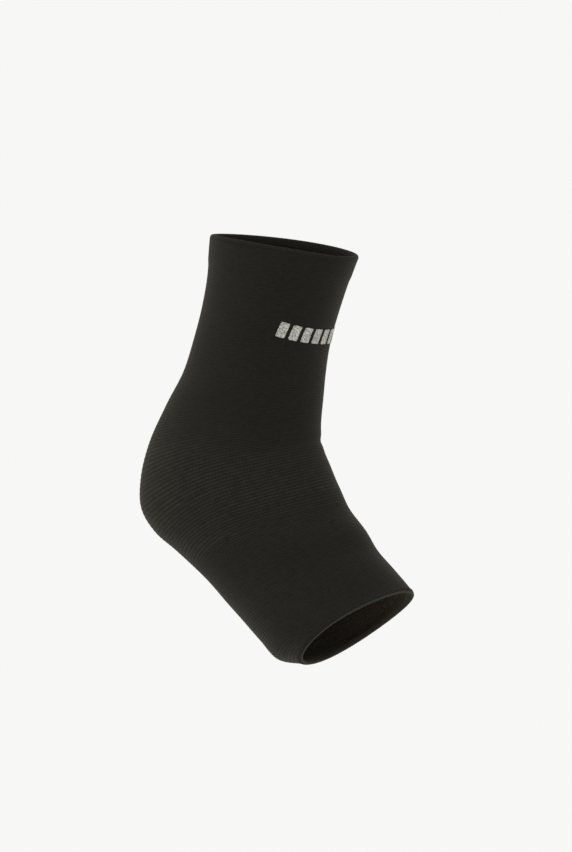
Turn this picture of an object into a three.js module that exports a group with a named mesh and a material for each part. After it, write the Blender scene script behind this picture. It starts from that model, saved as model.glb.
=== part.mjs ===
// An elastic ankle brace: a tube of black ribbed knit with a closed heel and an open toe, in the shape it takes
// on a foot that points down. Millimetres, +Z up, +X towards the toes. The origin is the ankle centre, where the
// middle line of the leg part meets the middle line of the foot part.
// Pieces: the knitted sleeve, a turned edge at each opening, and a printed row of plain bars across the shin.
import * as THREE from 'three';

// The two straight middle lines that meet at the ankle centre
const LEG_LENGTH = 140;
const LEG_LEAN = 15; // degrees that the leg part leans towards the toes
const FOOT_LENGTH = 114.5;
const FOOT_DROP = 44; // degrees that the foot part points below the horizontal
const LEG_BOW = 2; // how far the sides of the leg opening stand above its front and back
const FOOT_BOW = 1.8; // the same at the foot opening

// Outside size of the worn tube, front to back and side to side
const TOP_DEPTH = 88;
const TOP_WIDTH = 72;
const ANKLE_DEPTH = 83;
const ANKLE_WIDTH = 64;
const HEEL_DEPTH = 123; // from the instep crease to the back of the heel
const HEEL_WIDTH = 67;
const MIDFOOT_DEPTH = 105;
const MIDFOOT_WIDTH = 68;
const TOE_DEPTH = 83;
const TOE_WIDTH = 67;

// Fabric
const KNIT_WALL = 1.3;
const TURNED_WALL = 1.1; // the layer that is turned in at each opening
const LAYER_GAP = 0.3;
const LEG_LIP = 2.4; // how far each turned edge stands past the sleeve's own edge
const LEG_TURN = 12; // how far it goes back inside the sleeve
const FOOT_LIP = 3;
const FOOT_TURN = 7;

// Printed row of plain bars, centred on the shin
const BAR_COUNT = 9;
const BAR_LENGTH = 8.5;
const BAR_WIDTH = 5.4;
const BAR_SPACE = 2.2; // knit left bare between two bars
const BAR_SLANT = 1.6; // how far the top of a bar stands to one side of its foot
const BAR_FILM = 0.3;
const BAR_GAP = 0.3;
const ROW_DROP = 46; // along the shin, from the sleeve's upper edge to the middle of the row
const ROW_CLIMB = 4; // how far the row's two ends stand above its middle, past the course there
const BAR_FACETS = 3; // along each side of a bar

const ROUND_STEPS = 40;
const LENGTH_STEPS = 36;
const NOSE_SHARE = 0.45; // of each turned edge's lip that is rounded

const KNIT_COLOUR = '#262420';
const EDGE_COLOUR = '#2c2a26';
const PRINT_COLOUR = '#b9b7b1';

// A course that shapes the tube.
// at: place on the middle lines, -1 at the leg opening, 0 at the ankle centre and 1 at the foot opening
// skew: degrees that the course climbs to the front past a square cut of its middle line
// depth, width: outside size of the tube there
// ahead: share of the depth that lies in front of the middle line
// egg: how much the front half is wider, and the back half narrower, than an ellipse
// bow: how far the sides of the course stand above its two ends
function course(at, skew, depth, width, ahead, egg, bow = 0) {
  return { at, skew, depth, width, ahead, egg, bow };
}

const COURSES = [
  // at, skew, depth, width, ahead, egg, bow
  course(-1.0, 6.5, 1.0 * TOP_DEPTH, 1.0 * TOP_WIDTH, 0.515, 0.02, LEG_BOW),
  course(-0.83, 9, 0.925 * TOP_DEPTH, 0.96 * TOP_WIDTH, 0.52, 0.04, 0.5 * LEG_BOW),
  course(-0.65, 12, 0.97 * ANKLE_DEPTH, 1.04 * ANKLE_WIDTH, 0.51, 0.06),
  course(-0.49, 15, 1.035 * ANKLE_DEPTH, 1.0 * ANKLE_WIDTH, 0.505, 0.09),
  course(-0.35, 18, 0.79 * HEEL_DEPTH, 0.96 * HEEL_WIDTH, 0.48, 0.12),
  course(-0.22, 20, 0.87 * HEEL_DEPTH, 0.97 * HEEL_WIDTH, 0.47, 0.14),
  course(-0.1, 25, 0.94 * HEEL_DEPTH, 0.99 * HEEL_WIDTH, 0.49, 0.13),
  course(0.02, -34, 0.98 * HEEL_DEPTH, 1.0 * HEEL_WIDTH, 0.53, 0.08),
  course(0.17, -33, 0.965 * HEEL_DEPTH, 1.01 * HEEL_WIDTH, 0.495, 0.03),
  course(0.305, -32, 1.045 * MIDFOOT_DEPTH, 1.0 * MIDFOOT_WIDTH, 0.49, -0.02),
  course(0.485, -29, 0.97 * MIDFOOT_DEPTH, 1.0 * MIDFOOT_WIDTH, 0.495, -0.05),
  course(0.65, -24, 1.14 * TOE_DEPTH, 1.01 * TOE_WIDTH, 0.48, -0.06),
  course(0.82, -17, 1.085 * TOE_DEPTH, 1.02 * TOE_WIDTH, 0.48, -0.06),
  course(0.93, -14, 1.067 * TOE_DEPTH, 1.02 * TOE_WIDTH, 0.479, -0.06, 0.4 * FOOT_BOW),
  course(1.0, -11, 0.94 * TOE_DEPTH, 1.0 * TOE_WIDTH, 0.53, -0.04, FOOT_BOW),
];

const lean = THREE.MathUtils.degToRad(LEG_LEAN);
const drop = THREE.MathUtils.degToRad(FOOT_DROP);
const upLeg = new THREE.Vector3(Math.sin(lean), 0, Math.cos(lean));
const alongFoot = new THREE.Vector3(Math.cos(drop), 0, -Math.sin(drop));

// The point of the middle lines at a table row, and the slope of a square cut there.
function middleLine(at) {
  if (at < 0) return { point: upLeg.clone().multiplyScalar(-at * LEG_LENGTH), squareRise: -lean };
  return { point: alongFoot.clone().multiplyScalar(at * FOOT_LENGTH), squareRise: Math.PI / 2 - drop };
}

// The instep end and the heel end of a row's course.
function courseEnds({ at, skew, depth, ahead }) {
  const { point, squareRise } = middleLine(at);
  const rise = squareRise + THREE.MathUtils.degToRad(skew);
  const towardsInstep = new THREE.Vector3(Math.cos(rise), 0, Math.sin(rise));
  return {
    front: point.clone().addScaledVector(towardsInstep, depth * ahead),
    back: point.clone().addScaledVector(towardsInstep, -depth * (1 - ahead)),
  };
}

const ends = COURSES.map(courseEnds);
const instepLine = new THREE.CatmullRomCurve3(ends.map((end) => end.front));
const heelLine = new THREE.CatmullRomCurve3(ends.map((end) => end.back));
const girthLine = new THREE.CatmullRomCurve3(
  COURSES.map(({ width, egg, bow }) => new THREE.Vector3(width / 2, egg * width, bow)),
);

// A point of the outside surface. along: 0 at the leg opening to 1 at the foot opening. round: radians from the
// instep, over one side, to the heel at pi.
function surfacePoint(along, round) {
  const front = instepLine.getPoint(along);
  const back = heelLine.getPoint(along);
  const girth = girthLine.getPoint(along);
  const middle = front.clone().add(back).multiplyScalar(0.5);
  const half = front.clone().sub(back).multiplyScalar(0.5);
  const sideways = (girth.x + 0.5 * girth.y * Math.cos(round)) * Math.sin(round);
  const raised = girth.z * Math.sin(round) ** 2;
  return middle.addScaledVector(half, Math.cos(round)).add(new THREE.Vector3(0, -sideways, raised));
}

// The surface there with its outward normal, and the direction and speed at which it runs towards the toes.
function surfaceFrame(along, round) {
  const step = 0.002;
  const here = surfacePoint(along, round);
  const before = surfacePoint(Math.max(along - step, 0), round);
  const after = surfacePoint(Math.min(along + step, 1), round);
  const toToes = after.sub(before);
  const reach = Math.min(along + step, 1) - Math.max(along - step, 0);
  const speed = toToes.length() / reach;
  toToes.normalize();
  const around = surfacePoint(along, round + step).sub(surfacePoint(along, round - step));
  const normal = around.cross(toToes).normalize();
  return { here, normal, toToes, speed };
}

// A closed ring of points, `height` mm outside the surface.
function ringAt(along, height) {
  return Array.from({ length: ROUND_STEPS }, (_, i) => {
    const { here, normal } = surfaceFrame(along, (i / ROUND_STEPS) * 2 * Math.PI);
    return here.addScaledVector(normal, height);
  });
}

// A ring `beyond` mm past an opening's edge, or inside the tube where it is negative. edge: 0 leg, 1 foot.
function ringPastEdge(edge, beyond, height) {
  const outwards = edge === 0 ? -1 : 1;
  return Array.from({ length: ROUND_STEPS }, (_, i) => {
    const round = (i / ROUND_STEPS) * 2 * Math.PI;
    const rim = surfaceFrame(edge, round);
    if (beyond >= 0) {
      return rim.here.addScaledVector(rim.toToes, outwards * beyond).addScaledVector(rim.normal, height);
    }
    const inside = surfaceFrame(edge + (outwards * beyond) / rim.speed, round);
    return inside.here.addScaledVector(inside.normal, height);
  });
}

// The closed body that a loop of rings goes round: each ring joins the next, and the last joins the first.
function bodyFromRings(rings) {
  const positions = rings.flat().flatMap((point) => [point.x, point.y, point.z]);
  const faces = [];
  for (let i = 0; i < rings.length; i++) {
    for (let j = 0; j < ROUND_STEPS; j++) {
      const next = (i + 1) % rings.length;
      const turn = (j + 1) % ROUND_STEPS;
      const corners = [i, next].flatMap((ring) => [ring * ROUND_STEPS + j, ring * ROUND_STEPS + turn]);
      const [a, b, c, d] = corners;
      faces.push(a, b, d, a, d, c);
    }
  }
  const geometry = new THREE.BufferGeometry();
  geometry.setAttribute('position', new THREE.Float32BufferAttribute(positions, 3));
  geometry.setIndex(faces);
  geometry.computeVertexNormals();
  return geometry;
}

function sleeveGeometry() {
  const stations = Array.from({ length: LENGTH_STEPS + 1 }, (_, i) => i / LENGTH_STEPS);
  const outside = stations.map((along) => ringAt(along, 0));
  const inside = stations.map((along) => ringAt(along, -KNIT_WALL)).reverse();
  return bodyFromRings([...outside, ...inside]);
}

// A turned edge: a rounded lip that stands past the sleeve's edge, and a layer that goes back inside it.
function turnedEdgeGeometry(edge, lip, turn) {
  const outer = 0;
  const seat = -(KNIT_WALL + LAYER_GAP);
  const inner = seat - TURNED_WALL;
  const nose = lip * NOSE_SHARE;
  const profile = [
    [LAYER_GAP, outer],
    [lip - nose, outer],
    [lip - nose * 0.25, outer - nose * 0.5],
    [lip, (outer + inner) / 2],
    [lip - nose * 0.25, inner + nose * 0.5],
    [lip - nose, inner],
    [-turn, inner],
    [-turn, seat],
    [LAYER_GAP, seat],
  ];
  const rings = profile.map(([beyond, height]) => ringPastEdge(edge, beyond, height));
  return bodyFromRings(edge === 0 ? rings.reverse() : rings);
}

// The place round the tube that lies `distance` mm from the instep, measured on the surface.
function roundAtDistance(along, distance) {
  const step = Math.PI / 360;
  const wanted = Math.abs(distance);
  let round = 0;
  let walked = 0;
  let stride = 0;
  let last = surfacePoint(along, 0);
  while (walked < wanted) {
    round += step;
    const next = surfacePoint(along, round);
    stride = next.distanceTo(last);
    walked += stride;
    last = next;
  }
  const overshoot = stride > 0 ? ((walked - wanted) / stride) * step : 0;
  return Math.sign(distance) * (round - overshoot);
}

const halfRow = (BAR_COUNT * (BAR_WIDTH + BAR_SPACE) - BAR_SPACE) / 2;

// One printed bar: a thin plate bent on to the surface, its middle `offset` mm round from the shin's middle.
function barGeometry(offset) {
  const geometry = new THREE.BoxGeometry(BAR_WIDTH, BAR_LENGTH, BAR_FILM, BAR_FACETS, BAR_FACETS, 1);
  const places = geometry.attributes.position;
  for (let i = 0; i < places.count; i++) {
    const slant = (places.getY(i) / BAR_LENGTH) * BAR_SLANT;
    const aside = offset - places.getX(i) - slant;
    const down = ROW_DROP - ROW_CLIMB * (aside / halfRow) ** 2 - places.getY(i);
    const along = instepLine.getUtoTmapping(0, down);
    const round = roundAtDistance(along, aside);
    const { here, normal } = surfaceFrame(along, round);
    here.addScaledVector(normal, BAR_GAP + BAR_FILM / 2 + places.getZ(i));
    places.setXYZ(i, here.x, here.y, here.z);
  }
  geometry.computeVertexNormals();
  return geometry;
}

function fabric(color, roughness) {
  return new THREE.MeshStandardMaterial({ color, roughness, metalness: 0 });
}

const knitMaterial = fabric(KNIT_COLOUR, 0.95);
const edgeMaterial = fabric(EDGE_COLOUR, 0.92);
const printMaterial = fabric(PRINT_COLOUR, 0.6);

const brace = new THREE.Group();

function addPiece(name, geometry, material) {
  const mesh = new THREE.Mesh(geometry, material);
  mesh.name = name;
  brace.add(mesh);
}

addPiece('knit_sleeve', sleeveGeometry(), knitMaterial);
addPiece('leg_turned_edge', turnedEdgeGeometry(0, LEG_LIP, LEG_TURN), edgeMaterial);
addPiece('foot_turned_edge', turnedEdgeGeometry(1, FOOT_LIP, FOOT_TURN), edgeMaterial);
for (let i = 0; i < BAR_COUNT; i++) {
  const offset = (i - (BAR_COUNT - 1) / 2) * (BAR_WIDTH + BAR_SPACE);
  addPiece(`print_bar_${i + 1}`, barGeometry(offset), printMaterial);
}

export default brace;
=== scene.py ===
# %% [markdown]
# # An elastic ankle brace
# The real thing is one tube of black ribbed knit with a closed heel and an open toe. At both openings the
# fabric is turned in and stitched down. This one has a row of plain silver-grey bars printed across the
# shin. The lesson dresses a plain solid model of it: each piece made below takes the place of one of its
# solids, in the same frame, in metres. The solids give the size and the place, and Blender gives the knit.

# %% Load the solid model
import math
from bisect import bisect_right
from collections import namedtuple
from functools import lru_cache
from itertools import accumulate

import bmesh
import bpy
from mathutils import Matrix, Vector, noise


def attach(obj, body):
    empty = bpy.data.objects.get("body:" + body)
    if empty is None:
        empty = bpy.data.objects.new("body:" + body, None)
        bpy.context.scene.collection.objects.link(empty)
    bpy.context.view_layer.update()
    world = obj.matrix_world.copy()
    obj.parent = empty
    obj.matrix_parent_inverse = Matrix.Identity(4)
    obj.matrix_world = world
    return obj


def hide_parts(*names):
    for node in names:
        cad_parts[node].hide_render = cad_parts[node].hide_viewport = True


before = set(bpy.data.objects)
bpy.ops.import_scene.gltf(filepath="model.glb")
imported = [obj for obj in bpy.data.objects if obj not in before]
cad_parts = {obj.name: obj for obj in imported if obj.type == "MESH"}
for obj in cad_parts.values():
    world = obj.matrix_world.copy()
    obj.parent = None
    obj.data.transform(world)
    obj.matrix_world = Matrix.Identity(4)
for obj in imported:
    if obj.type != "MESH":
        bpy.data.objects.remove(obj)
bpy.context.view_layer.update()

print("solids:", ", ".join(sorted(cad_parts)))

# %% [markdown]
# ## The sizes
# A maker would note a handful of measures: how long the leg part and the foot part are, how the foot points
# down, and how deep and wide the tube is at five places. They are the same as the solid model's, so that
# the knit lies where the solid lay. Only the droop of the far lip is this scene's own.

# %% The sizes, in metres
MM = 0.001
LEG_LENGTH = 140 * MM
LEG_LEAN = math.radians(15)
FOOT_LENGTH = 114.5 * MM
FOOT_DROP = math.radians(44)
LEG_BOW = 2 * MM
FOOT_BOW = 1.8 * MM

# the far side of the leg opening hangs lower, which fades out over this share of the way down
FAR_DROOP = 0.9 * MM
DROOP_REACH = 0.12

TOP_DEPTH = 88 * MM
TOP_WIDTH = 72 * MM
ANKLE_DEPTH = 83 * MM
ANKLE_WIDTH = 64 * MM
HEEL_DEPTH = 123 * MM
HEEL_WIDTH = 67 * MM
MIDFOOT_DEPTH = 105 * MM
MIDFOOT_WIDTH = 68 * MM
TOE_DEPTH = 83 * MM
TOE_WIDTH = 67 * MM

# a lip is how far the fold stands past its opening, and a turn how far it goes back inside
KNIT_WALL = 1.3 * MM
LEG_LIP = 2.4 * MM
LEG_TURN = 12 * MM
FOOT_LIP = 3 * MM
FOOT_TURN = 7 * MM

# %% [markdown]
# ## The form
# A knitted tube is a stack of courses, the rows that the machine knits. On a foot that points down they fan
# out round the ankle: close together over the instep, and wide apart round the heel. So the form is told by
# a few courses, from the leg opening to the foot opening, each an egg-shaped ring with its own slope, and
# smooth curves run through their instep ends, their heel ends and their widths. A sculpted or subdivided
# box could have the same outline, but its edges wouldn't follow the courses, and the ribs have to.

# %% The courses that shape the tube
# at: place on the middle lines, -1 at the leg opening, 0 at the ankle and 1 at the foot opening
# skew: degrees that the course climbs to the front past a square cut
# ahead: share of the depth in front of the middle line
# egg: how much the front half is wider than the back half
# bow: how far the sides of the course stand above its two ends
Course = namedtuple("Course", "at skew depth width ahead egg bow")
COURSE_ROWS = [
    Course(-1.0, 6.5, 1.0 * TOP_DEPTH, 1.0 * TOP_WIDTH, 0.515, 0.02, LEG_BOW),
    Course(-0.83, 9, 0.925 * TOP_DEPTH, 0.96 * TOP_WIDTH, 0.52, 0.04, 0.5 * LEG_BOW),
    Course(-0.65, 12, 0.97 * ANKLE_DEPTH, 1.04 * ANKLE_WIDTH, 0.51, 0.06, 0),
    Course(-0.49, 15, 1.035 * ANKLE_DEPTH, 1.0 * ANKLE_WIDTH, 0.505, 0.09, 0),
    Course(-0.35, 18, 0.79 * HEEL_DEPTH, 0.96 * HEEL_WIDTH, 0.48, 0.12, 0),
    Course(-0.22, 20, 0.87 * HEEL_DEPTH, 0.97 * HEEL_WIDTH, 0.47, 0.14, 0),
    Course(-0.1, 25, 0.94 * HEEL_DEPTH, 0.99 * HEEL_WIDTH, 0.49, 0.13, 0),
    Course(0.02, -34, 0.98 * HEEL_DEPTH, 1.0 * HEEL_WIDTH, 0.53, 0.08, 0),
    Course(0.17, -33, 0.965 * HEEL_DEPTH, 1.01 * HEEL_WIDTH, 0.495, 0.03, 0),
    Course(0.305, -32, 1.045 * MIDFOOT_DEPTH, 1.0 * MIDFOOT_WIDTH, 0.49, -0.02, 0),
    Course(0.485, -29, 0.97 * MIDFOOT_DEPTH, 1.0 * MIDFOOT_WIDTH, 0.495, -0.05, 0),
    Course(0.65, -24, 1.14 * TOE_DEPTH, 1.01 * TOE_WIDTH, 0.48, -0.06, 0),
    Course(0.82, -17, 1.085 * TOE_DEPTH, 1.02 * TOE_WIDTH, 0.48, -0.06, 0),
    Course(0.93, -14, 1.067 * TOE_DEPTH, 1.02 * TOE_WIDTH, 0.479, -0.06, 0.4 * FOOT_BOW),
    Course(1.0, -11, 0.94 * TOE_DEPTH, 1.0 * TOE_WIDTH, 0.53, -0.04, FOOT_BOW),
]


def course_ends(row):
    """The instep end and the heel end of a row's course."""
    if row.at < 0:
        middle = Vector((math.sin(LEG_LEAN), 0, math.cos(LEG_LEAN))) * (-row.at * LEG_LENGTH)
        square = -LEG_LEAN
    else:
        middle = Vector((math.cos(FOOT_DROP), 0, -math.sin(FOOT_DROP))) * (row.at * FOOT_LENGTH)
        square = math.pi / 2 - FOOT_DROP
    rise = square + math.radians(row.skew)
    to_instep = Vector((math.cos(rise), 0, math.sin(rise)))
    return middle + to_instep * row.depth * row.ahead, middle - to_instep * row.depth * (1 - row.ahead)


instep_line = [course_ends(row)[0] for row in COURSE_ROWS]
heel_line = [course_ends(row)[1] for row in COURSE_ROWS]
girth_line = [Vector((row.width / 2, row.egg * row.width, row.bow)) for row in COURSE_ROWS]


# %% A smooth curve through points
def curve_point(points, along):
    """A smooth curve through all the points, with along from 0 at the first to 1 at the last.

    The square roots of the gaps set its speed, which keeps it from looping where points lie close together.
    """
    place = along * (len(points) - 1)
    first = min(int(place), len(points) - 2)
    weight = place - first
    start, end = points[first], points[first + 1]
    before = points[first - 1] if first > 0 else 2 * start - end
    after = points[first + 2] if first + 2 < len(points) else 2 * end - start
    gap_in = math.sqrt((start - before).length)
    gap = math.sqrt((end - start).length)
    gap_out = math.sqrt((after - end).length)
    step = end - start
    leave = gap * ((start - before) / gap_in - (end - before) / (gap_in + gap) + step / gap)
    arrive = gap * (step / gap - (after - start) / (gap + gap_out) + (after - end) / gap_out)
    bend = leave + arrive - 2 * step
    return start + weight * (leave + weight * (step - leave - bend + weight * bend))


# %% The outside of the tube
@lru_cache(maxsize=None)
def course_at(along):
    """The middle, the half that points at the instep, and the girth of the course at along."""
    front = curve_point(instep_line, along)
    back = curve_point(heel_line, along)
    return (front + back) / 2, (front - back) / 2, curve_point(girth_line, along)


def surface_point(along, turn):
    """along: 0 at the leg opening, 1 at the foot. turn: radians from the instep, over the near side."""
    middle, half, girth = course_at(along)
    aside = math.sin(turn)
    droop = FAR_DROOP * max(1 - along / DROOP_REACH, 0) if aside < 0 else 0
    sideways = (girth.x + girth.y * math.cos(turn) / 2) * aside
    return middle + half * math.cos(turn) + Vector((0, -sideways, (girth.z - droop) * aside ** 2))


# how far to either side the surface is looked at to find its slope, in along and in radians
NUDGE = 0.002


def surface_frame(along, turn):
    """The surface there, its outward normal, the way to the toes, and its metres for each 1 of along."""
    before, after = max(along - NUDGE, 0), min(along + NUDGE, 1)
    run = surface_point(after, turn) - surface_point(before, turn)
    across = surface_point(along, turn + NUDGE) - surface_point(along, turn - NUDGE)
    normal = across.cross(run).normalized()
    return surface_point(along, turn), normal, run.normalized(), run.length / (after - before)


GIRTH_STEPS = 90
opening_ring = [surface_point(0, math.tau * i / GIRTH_STEPS) for i in range(GIRTH_STEPS + 1)]
opening_girth = sum((there - here).length for here, there in zip(opening_ring, opening_ring[1:]))
print("girth at the leg opening, mm:", round(opening_girth / MM))

# %% [markdown]
# ## How the knit lies
# A course is about 1.15 mm high on the leg, opens to about 1.95 mm where the knit is stretched over the
# heel, and closes to about 1.4 mm at the toes. The courses also sag: over the heel each one lies further
# down the foot than a straight ring would, and that makes them fan out from the instep. So a course is laid
# by its own number, which the sag turns into a place on the form. The courses are counted by walking down
# the side of the tube and spending one local pitch on each. They then bunch up by themselves over the
# instep. The stitches within a course are about 1.55 mm wide.

# %% Lay out the courses
LEG_PITCH = 1.15 * MM
HEEL_PITCH = 1.95 * MM
TOE_PITCH = 1.4 * MM
WALE_PITCH = 1.55 * MM

# the shares of the way over which the pitch opens for the heel, and closes past it
OPENS = (0.27, 0.46)
CLOSES = (0.56, 0.74)

# the courses are counted on the line down the tube at this turn
SIDE_TURN = math.radians(80)

# the most that a course sags, the share of the way where it does, and how far the sag reaches from there
SAG = 0.105
SAG_CENTRE = 0.53
SAG_REACH = 0.27

# this part of the sag grows evenly from the instep to the heel, and the rest between two turns
EVEN_SAG = 0.5
SAG_TURNS = (math.radians(75), math.radians(160))

# into how many small steps the way down the tube is divided for measuring
MARKS = 2000


def smooth_step(low, high, value):
    """0 below low, 1 above high, and a smooth rise between."""
    t = min(max((value - low) / (high - low), 0), 1)
    return t * t * (3 - 2 * t)


def sagged(laid, turn):
    """The place along the form of the course that is laid at that share of the way, at that turn."""
    off = (laid - SAG_CENTRE) / SAG_REACH
    if abs(off) >= 1:
        return laid
    aside = abs(math.remainder(turn, math.tau))
    share = EVEN_SAG * aside / math.pi + (1 - EVEN_SAG) * smooth_step(*SAG_TURNS, aside)
    return laid + SAG * math.cos(math.pi / 2 * off) ** 2 * share


def pitch_at(laid):
    """The height that a course has there, at the side of the tube."""
    opened = smooth_step(*OPENS, laid)
    closed = smooth_step(*CLOSES, laid)
    return LEG_PITCH + (HEEL_PITCH - LEG_PITCH) * opened - (HEEL_PITCH - TOE_PITCH) * closed


def marked_steps(turn):
    """The small steps down the tube at that turn: the share of the way at its middle, and its length."""
    points = [surface_point(sagged(i / MARKS, turn), turn) for i in range(MARKS + 1)]
    lengths = [(there - here).length for here, there in zip(points, points[1:])]
    return [((i + 0.5) / MARKS, length) for i, length in enumerate(lengths)]


instep_steps = [length for _, length in marked_steps(0)]
course_steps = [length / pitch_at(laid) for laid, length in marked_steps(SIDE_TURN)]
instep_walk = list(accumulate(instep_steps, initial=0.0))
course_walk = list(accumulate(course_steps, initial=0.0))
COURSES = round(course_walk[-1])
WALES = 2 * round(math.pi * (TOP_DEPTH + TOP_WIDTH) / 2 / WALE_PITCH / 2)


@lru_cache(maxsize=None)
def laid_where(kind, wanted):
    """The share of the way where that walk, instep or courses, has come to the wanted share of itself."""
    totals = {"instep": instep_walk, "courses": course_walk}[kind]
    goal = wanted * totals[-1]
    low = min(max(bisect_right(totals, goal) - 1, 0), MARKS - 1)
    return (low + (goal - totals[low]) / (totals[low + 1] - totals[low])) / MARKS


def mark_before(laid):
    """The number of the last mark at or before that share of the way."""
    return min(int(laid * MARKS), MARKS - 1)


def share_at(laid):
    """The share of all the courses that lies before that share of the way."""
    low = mark_before(laid)
    step = course_walk[low + 1] - course_walk[low]
    return (course_walk[low] + (laid * MARKS - low) * step) / course_walk[-1]


print("courses:", COURSES, "wales:", WALES, "instep line, mm:", round(instep_walk[-1] / MM, 1))

# %% [markdown]
# ## The relief of the knit
# Each course stands up as a soft rib with a narrow groove to the next one. At over one pixel high in a
# close view this is a shape and not a shade, so it is modelled, and only the stitches within a course are
# left to the material. A rib rises with the square of its course's width, up to a widest rib, so the relief
# is fine on the leg and coarse round the heel. Slow waves of at most a quarter of a millimetre keep the
# surface from looking turned on a lathe. A crease marks where the shin turns into the instep, with a low
# swelling below it, and the doubled hem under the leg opening stands a little proud.

# %% Heights over the plain tube
# a rib as wide as HEEL_PITCH rises by RIB_SHARE of its width, and a higher power narrows the groove
ROWS_PER_COURSE = 4
RIB_SHARE = 0.052
WIDEST_RIB = 2.2 * MM
GROOVE_POWER = 1.5

WAVE_HEIGHT = 0.25 * MM
WAVE_LENGTH = 21 * MM

# the crease lies at CREASE_PLACE down the instep and the swelling at SWELL_PLACE below it, CREASE_BANKS says
# how much the knit piles up beside the crease, and CREASE_TURN how many radians round the tube it reaches
CREASE_DEPTH = 0.8 * MM
CREASE_LENGTH = 3.2 * MM
CREASE_BANKS = 0.8
CREASE_TURN = 0.75
CREASE_PLACE = 105 * MM
CREASE_REACH = 40 * MM
SWELL_HEIGHT = 1.1 * MM
SWELL_PLACE = 15 * MM
SWELL_LENGTH = 9 * MM

# the hem ends over this share of its length, half before its end and half after it
HEM_SWELL = 0.35 * MM
HEM_LENGTH = 12 * MM
HEM_FADE = 0.4


def course_width(laid, turn):
    """The width of one course there, measured between its neighbours' middles."""
    low = mark_before(laid)
    half = 0.5 / (MARKS * (course_walk[low + 1] - course_walk[low]))
    before, after = (surface_point(sagged(min(max(laid + side, 0), 1), turn), turn) for side in (-half, half))
    return (after - before).length


def rib_height(laid, turn):
    """A groove at each whole course, and a broad rib between."""
    groove = 0.5 + 0.5 * math.cos(math.tau * share_at(laid) * COURSES)
    width = min(course_width(laid, turn), WIDEST_RIB)
    return RIB_SHARE * width ** 2 / HEEL_PITCH * (1 - groove ** GROOVE_POWER)


def crease_height(laid, turn):
    """The fold across the instep and the swelling below it, both gone at the tube's sides."""
    past = instep_walk[mark_before(laid)] - CREASE_PLACE
    if abs(past) > CREASE_REACH:
        return 0
    fold = (past / CREASE_LENGTH) ** 2
    swell = ((past - SWELL_PLACE) / SWELL_LENGTH) ** 2
    fade = math.exp(-(math.remainder(turn, math.tau) / CREASE_TURN) ** 2)
    dip = CREASE_DEPTH * (1 - CREASE_BANKS * fold) * math.exp(-fold)
    return fade * (SWELL_HEIGHT * math.exp(-swell) - dip)


def hem_height(laid):
    """The doubled hem under the leg opening."""
    start, end = (1 - HEM_FADE / 2) * HEM_LENGTH, (1 + HEM_FADE / 2) * HEM_LENGTH
    return HEM_SWELL * (1 - smooth_step(start, end, instep_walk[mark_before(laid)]))


def knit_surface(laid, turn):
    """The plain form, its outward normal, and the height of the knit's relief there."""
    here, normal, _, _ = surface_frame(sagged(laid, turn), turn)
    wave = noise.noise(here / WAVE_LENGTH) * WAVE_HEIGHT
    return here, normal, wave + rib_height(laid, turn) + crease_height(laid, turn) + hem_height(laid)


# %% Helpers that bend a grid and make a piece
def new_mesh():
    """An empty mesh with a map to count wales and courses on, and a paleness: from stretch outside, painted
    light inside.
    """
    mesh = bmesh.new()
    mesh.loops.layers.uv.new("knit")
    mesh.verts.layers.float.new("paleness")
    return mesh


def bent_grid(mesh, columns, rows, place, paleness=None):
    """Adds a flat grid and moves its point at shares (across, up) to place(across, up)."""
    grid = bmesh.ops.create_grid(mesh, x_segments=columns, y_segments=rows, size=0.5, calc_uvs=True)
    layer = mesh.verts.layers.float["paleness"]
    for vert in grid["verts"]:
        across, up = vert.co.x + 0.5, vert.co.y + 0.5
        vert.co = place(across, up)
        vert[layer] = paleness(across, up) if paleness else 0


def new_object(name, data):
    """Puts the data into the scene as an object at the origin."""
    thing = bpy.data.objects.new(name, data)
    bpy.context.collection.objects.link(thing)
    return thing


def make_piece(mesh, name, materials, slot, *nodes):
    """Turns the bmesh into a finished piece that rides on the body and stands for those solids."""
    if mesh.calc_volume(signed=True) < 0:
        bmesh.ops.reverse_faces(mesh, faces=mesh.faces)
    for face in mesh.faces:
        face.smooth = True
    data = bpy.data.meshes.new(name)
    mesh.to_mesh(data)
    triangles = sum(len(face.verts) - 2 for face in mesh.faces)
    print(f"{name}: {triangles} triangles, {mesh.calc_volume() / MM ** 3 / 1000:.2f} cubic cm")
    mesh.free()
    for material in materials:
        data.materials.append(material)
    piece = new_object(name, data)
    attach(piece, "root")
    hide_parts(*nodes)
    return piece


# %% [markdown]
# ## Materials
# Everything is built from nodes. One function turns a hex colour, as a paint program shows it, into the
# linear numbers that the shader wants, and one adds a node with its inputs and its options.

# %% Helpers for materials
def linear(hex_colour):
    """An sRGB hex colour as linear red, green, blue and alpha."""
    parts = [int(hex_colour[i:i + 2], 16) / 255 for i in (1, 3, 5)]
    return [p / 12.92 if p <= 0.04045 else ((p + 0.055) / 1.055) ** 2.4 for p in parts] + [1]


def add_node(tree, kind, inputs=None, **options):
    """Adds a node. An input gets a value, an output to read, or a node, which means its first output."""
    node = tree.nodes.new(kind)
    for name, value in options.items():
        setattr(node, name, value)
    for key, value in (inputs or {}).items():
        source = value.outputs[0] if isinstance(value, bpy.types.Node) else value
        if isinstance(source, bpy.types.NodeSocket):
            tree.links.new(source, node.inputs[key])
        else:
            node.inputs[key].default_value = source
    return node


def new_material(name):
    """A material without nodes, and the tree that they go into."""
    material = bpy.data.materials.new(name)
    material.use_nodes = True
    material.node_tree.nodes.clear()
    return material, material.node_tree
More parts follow.
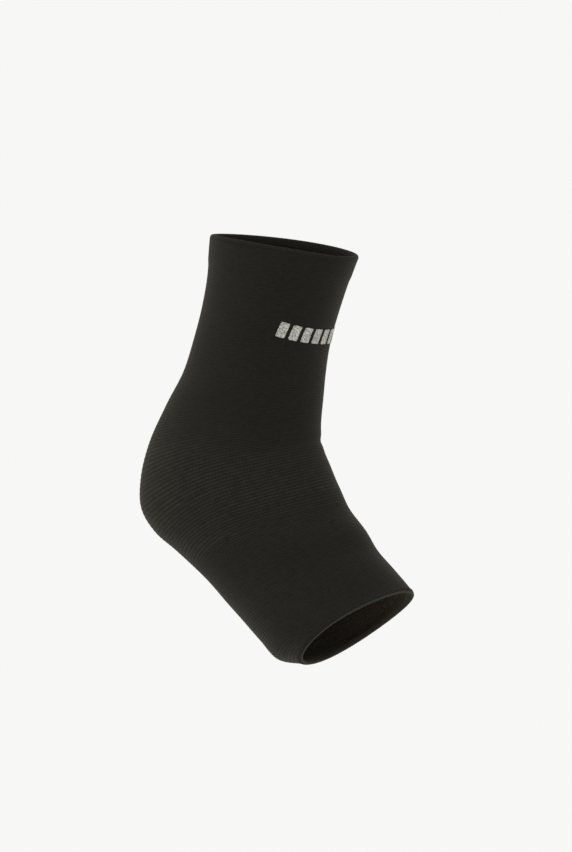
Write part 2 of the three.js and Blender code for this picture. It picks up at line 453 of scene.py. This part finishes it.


# %% [markdown]
# ## Knitted nylon
# The yarn is textured nylon round a core of elastane, spun-dyed a warm black and knitted on a circular
# machine. It is matt: its fine hairs scatter light, which leaves the middle of the leg almost black and
# gives each edge that turns away a soft grey bloom. In Blender that is a dark base colour, a high
# roughness, a low specular level and some sheen. The courses are already modelled. The map of each piece
# runs once round it and once along it, and the material counts its wales and courses off on that. So it
# paints shade into the grooves and between the stitches, and raises one slanted bead for each stitch, with
# each course shifted by half a bead from the one below. A noise drawn out along each course makes its yarn
# thicker and thinner, and that breaks the long painted grooves up.

# %% Knitted nylon
# a rib is up to its full height over 1 / RIB_RISE of a course, and a bead over 1 / BEAD_RISE of a stitch
RIB_RISE = 3.5
RIB_ROUNDING = 0.3
BEAD_RISE = 3
BEAD_ROUNDING = 0.4

# in stitches: how far a bead leans over one course, and how far the next course's beads are shifted
BEAD_SLANT = 0.4
BEAD_SHIFT = 0.5

# in shares of a rib's height: what the beads take off between them, and what a hair adds
BEAD_SHARE = 0.55
HAIR_HEIGHT = 0.6

# the hairs are drawn coarser than real ones, which would be too fine to show
HAIR_SIZE = 0.8 * MM
MOTTLE_SIZE = 4 * MM
DRIFT_SIZE = 30 * MM
SLUB_STITCHES = 2.5

# how much each of the noises makes the yarn darker and lighter
HAIR_CONTRAST = 1.8
MOTTLE_CONTRAST = 1
DRIFT_CONTRAST = 0.8
SLUB_CONTRAST = 2.4

KNIT_BUMP = 0.15 * MM
BUMP_STRENGTH = 0.9
NYLON_ROUGHNESS = 0.85
NYLON_SPECULAR = 0.09
SHEEN_ROUGHNESS = 0.55
SHEEN_TINT = "#fff1dc"


def knitted_nylon(name, yarn, paler, groove, courses, sheen):
    """yarn: colour of the ribs. paler: the same where the paleness is 1. groove: painted shade between the
    ribs.
    """
    material, tree = new_material(name)
    knit_map = add_node(tree, "ShaderNodeUVMap", uv_map="knit")
    split = add_node(tree, "ShaderNodeSeparateXYZ", {0: knit_map})
    round_it, along_it = split.outputs[0], split.outputs[1]

    # the ribs: 0 in the groove between two courses, 1 on top
    course = add_node(tree, "ShaderNodeMath", {0: along_it, 1: courses}, operation="MULTIPLY")
    from_groove = add_node(tree, "ShaderNodeMath", {0: course, 1: 0.5}, operation="PINGPONG")
    rib_side = add_node(tree, "ShaderNodeMath", {0: from_groove, 1: RIB_RISE}, operation="MULTIPLY")
    rib = add_node(tree, "ShaderNodeMath", {0: rib_side, 1: 1, 2: RIB_ROUNDING}, operation="SMOOTH_MIN")

    # the beads: 0 between two stitches, 1 on top
    row = add_node(tree, "ShaderNodeMath", {0: course}, operation="FLOOR")
    shift = add_node(tree, "ShaderNodeMath", {0: row, 1: BEAD_SHIFT}, operation="MULTIPLY")
    lean = add_node(tree, "ShaderNodeMath", {0: course, 1: BEAD_SLANT, 2: shift}, operation="MULTIPLY_ADD")
    wale = add_node(tree, "ShaderNodeMath", {0: round_it, 1: WALES, 2: lean}, operation="MULTIPLY_ADD")
    from_side = add_node(tree, "ShaderNodeMath", {0: wale, 1: 0.5}, operation="PINGPONG")
    bead_side = add_node(tree, "ShaderNodeMath", {0: from_side, 1: BEAD_RISE}, operation="MULTIPLY")
    bead = add_node(tree, "ShaderNodeMath", {0: bead_side, 1: 1, 2: BEAD_ROUNDING}, operation="SMOOTH_MIN")

    # the noises: three that fill space, and one drawn out along the courses
    place = add_node(tree, "ShaderNodeTexCoord").outputs["Object"]
    hairs = add_node(tree, "ShaderNodeTexNoise", {0: place, "Scale": 1 / HAIR_SIZE, "Detail": 3})
    mottle = add_node(tree, "ShaderNodeTexNoise", {0: place, "Scale": 1 / MOTTLE_SIZE, "Detail": 3})
    drift = add_node(tree, "ShaderNodeTexNoise", {0: place, "Scale": 1 / DRIFT_SIZE, "Detail": 1})
    slow_wale = add_node(tree, "ShaderNodeMath", {0: wale, 1: 1 / SLUB_STITCHES}, operation="MULTIPLY")
    drawn_out = add_node(tree, "ShaderNodeCombineXYZ", {0: slow_wale, 1: course})
    slub = add_node(tree, "ShaderNodeTexNoise", {0: drawn_out, "Scale": 1, "Detail": 2})

    # the height of the stitches and hairs, for the bump
    beaded = add_node(
        tree, "ShaderNodeMath", {0: bead, 1: BEAD_SHARE, 2: 1 - BEAD_SHARE}, operation="MULTIPLY_ADD")
    stitch = add_node(tree, "ShaderNodeMath", {0: rib, 1: beaded}, operation="MULTIPLY")
    height = add_node(tree, "ShaderNodeMath", {0: hairs, 1: HAIR_HEIGHT, 2: stitch}, operation="MULTIPLY_ADD")
    bump = add_node(
        tree, "ShaderNodeBump", {"Strength": BUMP_STRENGTH, "Distance": KNIT_BUMP, "Height": height})

    # a noise is a half on average, so each factor made of one is 1 on average
    patterns = (mottle, drift, slub, hairs)
    contrasts = (MOTTLE_CONTRAST, DRIFT_CONTRAST, SLUB_CONTRAST, HAIR_CONTRAST)
    # the stitches' shape puts painted shade in the grooves and between the beads, and the noises vary it as
    # the yarn's own tone
    shade_and_tone = stitch
    for pattern, contrast in zip(patterns, contrasts):
        factor = add_node(
            tree, "ShaderNodeMath", {0: pattern, 1: contrast, 2: 1 - contrast / 2}, operation="MULTIPLY_ADD")
        shade_and_tone = add_node(tree, "ShaderNodeMath", {0: shade_and_tone, 1: factor}, operation="MULTIPLY")

    # from the painted shade of the grooves to the yarn's colour, which is itself paler in places
    pale = add_node(tree, "ShaderNodeAttribute", attribute_name="paleness").outputs["Fac"]
    ribs = add_node(tree, "ShaderNodeMix", {0: pale, 6: linear(yarn), 7: linear(paler)}, data_type="RGBA")
    colour = add_node(
        tree, "ShaderNodeMix", {0: shade_and_tone, 6: linear(groove), 7: ribs.outputs[2]}, data_type="RGBA")
    shader = add_node(tree, "ShaderNodeBsdfPrincipled", {
        "Base Color": colour.outputs[2],
        "Normal": bump,
        "Roughness": NYLON_ROUGHNESS,
        "Specular IOR Level": NYLON_SPECULAR,
        "Sheen Weight": sheen,
        "Sheen Roughness": SHEEN_ROUGHNESS,
        "Sheen Tint": linear(SHEEN_TINT),
    })
    add_node(tree, "ShaderNodeOutputMaterial", {0: shader})
    return material


# each groove colour is a painted shade, darker than the yarn beside it
knit_outside = knitted_nylon("knitted_nylon_warm_black", "#1a1813", "#25231c", "#0d0c0a", COURSES, 0.06)
# the inner face's paler colour is painted light, drawn towards the toes where light falls in at the foot
# opening
knit_inside_with_painted_light = knitted_nylon("knitted_nylon_inner_face_painted_light_at_toes", "#1c1a16", "#352f27", "#1f1b16", COURSES, 0.05)

# %% [markdown]
# ## The knitted sleeve
# Two grids are bent into tubes: an outside with four rows of faces to each course, so that the ribs are
# real, and an inside with fewer rows, because it is hardly seen. Each grid brings its own map, and closing
# the seam at the heel leaves that map whole. Bridging the two tubes at both openings makes one closed wall
# of fabric. Solidify could give the wall too, but would double every rib for nothing.

# %% The knitted sleeve
# a course as wide as FULL_STRETCH shows the yarn's paler colour in full
SLEEVE_COLUMNS = 112
INSIDE_ROWS = 100
FULL_STRETCH = 2.6 * MM

# points closer than this are one
TINY = 0.001 * MM


def seam_at_heel(across):
    """The turn at that share of the way round from the heel, over the far side and the instep."""
    return math.pi + math.tau * across


def outside_point(across, up):
    here, normal, height = knit_surface(laid_where("courses", up), seam_at_heel(across))
    return here + normal * height


def inside_point(across, up):
    laid, turn = laid_where("courses", up), seam_at_heel(across)
    here, normal, _, _ = surface_frame(sagged(laid, turn), turn)
    return here + normal * (crease_height(laid, turn) - KNIT_WALL)


def pale_where_stretched(across, up):
    """0 where a course has its width on the leg, 1 where it is pulled open as wide as at the heel."""
    return smooth_step(LEG_PITCH, FULL_STRETCH, course_width(laid_where("courses", up), seam_at_heel(across)))


def painted_light_at_toes(across, up):
    """Painted light: the inner face is paler the nearer it comes to the foot opening, where light falls in.
    """
    return up


mesh = new_mesh()
bent_grid(mesh, SLEEVE_COLUMNS, COURSES * ROWS_PER_COURSE, outside_point, pale_where_stretched)
outside_faces = len(mesh.faces)
bent_grid(mesh, SLEEVE_COLUMNS, INSIDE_ROWS, inside_point, painted_light_at_toes)
for number, face in enumerate(mesh.faces):
    face.material_index = 0 if number < outside_faces else 1
bmesh.ops.remove_doubles(mesh, verts=mesh.verts, dist=TINY)
for at_leg in (True, False):
    rims = [edge for edge in mesh.edges if edge.is_boundary and (edge.verts[0].co.z > 0) == at_leg]
    for edge in rims:
        edge.smooth = False
    bmesh.ops.bridge_loops(mesh, edges=rims)
bmesh.ops.recalc_face_normals(mesh, faces=mesh.faces)
sleeve = make_piece(mesh, "ribbed_knit_sleeve", [knit_outside, knit_inside_with_painted_light], "knit", "knit_sleeve")

# %% [markdown]
# ## The turned edges
# At each opening the fabric is folded over and goes back inside, where it is stitched down. What shows is a
# round lip nearly three millimetres thick. The fold's profile is a round arc from the outside over the rim,
# and an inner layer that tapers into the sleeve's wall, where the stitches pull it in. It is carried round
# the opening. A bevelled curve would make the same roll, but not one that leans with the tube's own slope
# at every place. The fold is finely puckered, with one small rib to each wale.

# %% The turned edges
# the gaps between the fold and the sleeve, past the sleeve's edge and under its wall
EDGE_GAP = 0.05 * MM
LAYER_GAP = 0.05 * MM

# the inner layer ends this deep in the sleeve's wall and this thick, and a higher taper narrows it later
TURNED_WALL = 1.1 * MM
STITCHED_IN = 0.5 * MM
TURNED_END = 0.05 * MM
TAPER = 1.25

LIP_STEPS = 12
LAYER_STEPS = 8
COLUMNS_PER_PUCKER = 4
FOLD_COURSES = 16

# at the toes the lip's material is a paler copy of the knit: a painted highlight on the rolled edge
# the lip's own material ends at this share of the arc, and the inner layer's starts
LIP_END = 0.8


def lip_profile(outer, lip, turn_in):
    """The closed outline of the fold: (past the opening's edge, height over the outside), both in metres."""
    seat = -(KNIT_WALL + LAYER_GAP)
    inner = seat - TURNED_WALL
    half = (outer - inner) / 2
    angles = [math.pi / 2 - math.pi * i / LIP_STEPS for i in range(LIP_STEPS + 1)]
    arc = [(max(EDGE_GAP, lip * math.cos(a)), outer - half + half * math.sin(a)) for a in angles]
    shares = [i / LAYER_STEPS for i in range(LAYER_STEPS + 1)]
    stitched = STITCHED_IN - KNIT_WALL
    layer = [(-turn_in * share, inner + (stitched - inner) * share ** TAPER) for share in shares]
    rise = stitched + TURNED_END - seat
    back = [(-turn_in * share, seat + rise * share) for share in reversed(shares[1:])]
    return arc + layer + back + [(EDGE_GAP, seat)]


def turned_edge(edge, outer, lip, turn_in, pucker, knit_steps):
    """The fold at the leg, edge 0, or at the foot, edge 1.

    outer: height over the tube. lip and turn_in: how far it goes past the opening and back inside.
    pucker: height of the small ribs across it. knit_steps: how many steps of the arc look like the sleeve.
    """
    outline = lip_profile(outer, lip, turn_in)
    outwards = -1 if edge == 0 else 1

    def place(across, up):
        past, height = outline[round(up * len(outline)) % len(outline)]
        turn = math.tau * across
        if past > EDGE_GAP:
            height += pucker * (0.5 - 0.5 * math.cos(math.tau * across * WALES))
        here, normal, run, speed = surface_frame(edge, turn)
        if past >= 0:
            return here + run * (outwards * past) + normal * height
        here, normal, _, _ = surface_frame(edge + outwards * past / speed, turn)
        return here + normal * height

    fold = new_mesh()
    bent_grid(fold, WALES * COLUMNS_PER_PUCKER, len(outline), place)
    uv = fold.loops.layers.uv["knit"]
    for face in fold.faces:
        step = max(loop[uv].uv.y for loop in face.loops) * len(outline)
        if step < knit_steps + 0.5:
            face.material_index = 0
        elif step < LIP_END * LIP_STEPS:
            face.material_index = 1
        else:
            face.material_index = 2
        # half a course further, so that the fold starts on top of a rib
        for loop in face.loops:
            loop[uv].uv.y += 0.5 / FOLD_COURSES
    bmesh.ops.remove_doubles(fold, verts=fold.verts, dist=TINY)
    return fold


# as on the sleeve, the folds' groove colours are painted shade
fold_outside = knitted_nylon(
    "knitted_nylon_fold_outside", "#1a1813", "#1a1813", "#0f0e0b", FOLD_COURSES, 0.055)
# painted shade: the leg fold is a slightly darker copy of the knit, which keeps its lip from showing a light
# line
leg_fold_shaded = knitted_nylon("knitted_nylon_leg_fold_painted_shade", "#181612", "#181612", "#0f0e0b", FOLD_COURSES, 0.035)
# painted highlight: the toe lip is a paler copy of the knit, where its round catches the light
foot_lip_highlight = knitted_nylon("knitted_nylon_foot_lip_painted_highlight", "#37322b", "#37322b", "#221e19", FOLD_COURSES, 0.06)
# the toe fold's inner layer takes the same painted light as the inner face at the toes
foot_inside_painted_light = knitted_nylon("knitted_nylon_fold_inside_painted_light", "#352f27", "#352f27", "#26211a", FOLD_COURSES, 0.05)
leg_fold = turned_edge(
    0, outer=HEM_SWELL + 0.05 * MM, lip=LEG_LIP, turn_in=LEG_TURN, pucker=0.06 * MM, knit_steps=4)
foot_fold = turned_edge(
    1, outer=0.1 * MM, lip=FOOT_LIP, turn_in=FOOT_TURN, pucker=0.24 * MM, knit_steps=3)
leg_edge = make_piece(
    leg_fold, "leg_fold", [fold_outside, leg_fold_shaded, leg_fold_shaded], "turned_edge", "leg_turned_edge")
foot_edge = make_piece(
    foot_fold, "foot_fold", [fold_outside, foot_lip_highlight, foot_inside_painted_light], "turned_edge", "foot_turned_edge")

# %% [markdown]
# ## The printed bars
# A row of plain leaning bars is screen printed on the front of the shin in silver-grey ink. The ink lies on
# the crests of the ribs and breaks up a little in between, so each bar is a thin film that follows the
# ribs, with rounded corners and a slightly ragged rim. Painting it by a mask in the knit's material would
# be simpler, but a film of its own can be left off, moved or given another colour.

# %% Silver-grey ink
# the ink is thin below the first value of its speckle, and full above the second
SPECKLE_SIZE = 0.9 * MM
THIN_BELOW = 0.36
FULL_ABOVE = 0.62
INK_BUMP = 0.08 * MM


def silver_ink():
    """Textile ink, matt and speckled where the knit shows through."""
    material, tree = new_material("screen_printed_silver_ink")
    place = add_node(tree, "ShaderNodeTexCoord").outputs["Object"]
    speckle = add_node(
        tree, "ShaderNodeTexNoise", {0: place, "Scale": 1 / SPECKLE_SIZE, "Detail": 4, "Roughness": 0.7})
    ramp = add_node(tree, "ShaderNodeValToRGB", {0: speckle})
    thin, full = ramp.color_ramp.elements
    thin.position = THIN_BELOW
    thin.color = linear("#4e4b46")
    full.position = FULL_ABOVE
    full.color = linear("#bdbab3")
    bump = add_node(tree, "ShaderNodeBump", {"Strength": 0.5, "Distance": INK_BUMP, "Height": speckle})
    shader = add_node(tree, "ShaderNodeBsdfPrincipled", {
        "Base Color": ramp,
        "Normal": bump,
        "Roughness": 0.5,
        "Metallic": 0,
        "Specular IOR Level": 0.4,
    })
    add_node(tree, "ShaderNodeOutputMaterial", {0: shader})
    return material


# %% The printed bars
BAR_COUNT = 9
BAR_LENGTH = 8.5 * MM
BAR_WIDTH = 5.4 * MM
BAR_SPACE = 2.2 * MM
BAR_SLANT = 1.6 * MM
CORNER = 0.7 * MM

# the row's middle lies this far down the instep, and its two ends climb
ROW_DROP = 46 * MM
ROW_CLIMB = 4 * MM
half_row = (BAR_COUNT * (BAR_WIDTH + BAR_SPACE) - BAR_SPACE) / 2

# the film's thickness, how far it lies off the ribs, and how ragged its rim is
FILM = 0.16 * MM
FILM_LIFT = 0.12 * MM
RAGGED = 0.12 * MM
RAG_LENGTH = 0.8 * MM
BAR_COLUMNS = 12
BAR_ROWS = 22

# without a seed, Blender's vector noise starts from the clock, and the rims come out different in each run
RAG_SEED = 1
noise.seed_set(RAG_SEED)

# the step of the walk round the tube
STRIDE = math.radians(1)


def rounded(x, y):
    """Pulls a point of the bar's rectangle in where it lies in a corner."""
    inner_x, inner_y = BAR_WIDTH / 2 - CORNER, BAR_LENGTH / 2 - CORNER
    over_x, over_y = abs(x) - inner_x, abs(y) - inner_y
    if over_x <= 0 or over_y <= 0:
        return x, y
    pull = max(over_x, over_y) / math.hypot(over_x, over_y)
    return math.copysign(inner_x + over_x * pull, x), math.copysign(inner_y + over_y * pull, y)


def turn_at(laid, distance):
    """The turn that lies that far round the tube from the instep, measured on the surface."""
    turn, walked = 0.0, 0.0
    last = surface_point(laid, 0)
    while walked < abs(distance):
        turn += STRIDE
        here = surface_point(laid, turn)
        step = (here - last).length
        walked += step
        last = here
    if turn > 0:
        turn -= STRIDE * (walked - abs(distance)) / step
    return math.copysign(turn, distance)


def printed_bar(offset):
    """The upper side of the bar whose middle lies that far round from the instep."""
    def place(across, up):
        x, y = rounded((across - 0.5) * BAR_WIDTH, (up - 0.5) * BAR_LENGTH)
        aside = offset - x - BAR_SLANT * y / BAR_LENGTH
        down = ROW_DROP - ROW_CLIMB * (aside / half_row) ** 2 - y
        laid = laid_where("instep", down / instep_walk[-1])
        here, normal, height = knit_surface(laid, turn_at(laid, aside))
        at_rim = across in (0, 1) or up in (0, 1)
        rag = noise.noise_vector(here / RAG_LENGTH) * RAGGED if at_rim else Vector()
        return here + normal * (height + FILM_LIFT + FILM) + rag

    film = new_mesh()
    bent_grid(film, BAR_COLUMNS, BAR_ROWS, place)
    return film


ink = silver_ink()
for number in range(BAR_COUNT):
    film = printed_bar((number - (BAR_COUNT - 1) / 2) * (BAR_WIDTH + BAR_SPACE))
    bmesh.ops.solidify(film, geom=film.faces[:], thickness=FILM)
    make_piece(film, f"silver_bar_{number + 1}", [ink], "print", f"print_bar_{number + 1}")

# %% [markdown]
# ## The cloth's facts
# The sleeve is a sheet of knit, stretched by what it is worn on. Laid flat and unworn, such a medium sleeve
# is about 105 mm wide and 270 mm long, so opened along one side it is 210 by 270 mm.

# %% [markdown]
# ## Floor, light and camera
# The brace is held up as if it were worn, in front of a pale floor that runs out into an equally pale
# surround. The floor glows a little, as a lit studio sweep does, and the surround lights the knit from all
# sides. Large soft lamps add some direction, so that the ribs show.

# %% Floor and surround
PALE = "#f7f7f5"
SWEEP_GREY = "#3a3a39"
SWEEP_GLOW = 0.96
FLOOR_DROP = 0.35
FLOOR_RADIUS = 60

floor_mesh = bmesh.new()
bmesh.ops.create_circle(floor_mesh, cap_ends=True, segments=64, radius=FLOOR_RADIUS)
bmesh.ops.translate(floor_mesh, verts=floor_mesh.verts, vec=(0, 0, -FLOOR_DROP))
floor_data = bpy.data.meshes.new("floor")
floor_mesh.to_mesh(floor_data)
floor_mesh.free()
floor = new_object("floor", floor_data)

sweep, tree = new_material("lit_studio_sweep")
shader = add_node(tree, "ShaderNodeBsdfPrincipled", {
    "Base Color": linear(SWEEP_GREY),
    "Roughness": 1,
    "Specular IOR Level": 0,
    "Emission Color": linear(PALE),
    "Emission Strength": SWEEP_GLOW,
})
add_node(tree, "ShaderNodeOutputMaterial", {0: shader})
floor_data.materials.append(sweep)

world = bpy.data.worlds.new("surround")
bpy.context.scene.world = world
world.use_nodes = True
world.node_tree.nodes["Background"].inputs["Color"].default_value = linear(PALE)
world.node_tree.nodes["Background"].inputs["Strength"].default_value = 1

# %% Soft lamps
MIDDLE = Vector((0.03, 0, 0.02))
LAMP_SIZE = 0.9


def soft_lamp(name, place, watts):
    """A square lamp that faces the middle of the brace."""
    data = bpy.data.lights.new(name, "AREA")
    data.size = LAMP_SIZE
    data.energy = watts
    facing = (Vector(place) - MIDDLE).to_track_quat("Z", "Y").to_matrix().to_4x4()
    new_object(name, data).matrix_world = Matrix.Translation(place) @ facing


soft_lamp("key", (-0.5, -1.4, 1.3), 12)
soft_lamp("fill", (1.5, -0.6, 0.7), 6)
soft_lamp("back", (-0.6, 1.4, 0.9), 1.5)

# %% Camera
# the model's origin falls on ORIGIN_PIXEL, at the scale that PIXEL gives
PHOTO_SIZE = (572, 852)
PIXEL = 0.57 * MM
ORIGIN_PIXEL = (226.6, 486.0)
AZIMUTH = math.radians(30)
ELEVATION = math.radians(1.25)
DISTANCE = 8.0
SENSOR = 36
FARTHEST = 200

back = Vector((
    math.sin(AZIMUTH) * math.cos(ELEVATION),
    -math.cos(AZIMUTH) * math.cos(ELEVATION),
    math.sin(ELEVATION),
))
right = Vector((math.cos(AZIMUTH), math.sin(AZIMUTH), 0))
up = back.cross(right)
to_right = (PHOTO_SIZE[0] / 2 - ORIGIN_PIXEL[0]) * PIXEL
to_top = (ORIGIN_PIXEL[1] - PHOTO_SIZE[1] / 2) * PIXEL
aim = right * to_right + up * to_top
camera_data = bpy.data.cameras.new("camera")
camera_data.sensor_width = SENSOR
camera_data.lens = SENSOR * DISTANCE / (PHOTO_SIZE[1] * PIXEL)
camera_data.clip_end = FARTHEST
camera = new_object("camera", camera_data)
facing = Matrix((right, up, back)).transposed().to_4x4()
camera.matrix_world = Matrix.Translation(aim + back * DISTANCE) @ facing
bpy.context.scene.camera = camera
bpy.context.scene.view_settings.view_transform = "Standard"
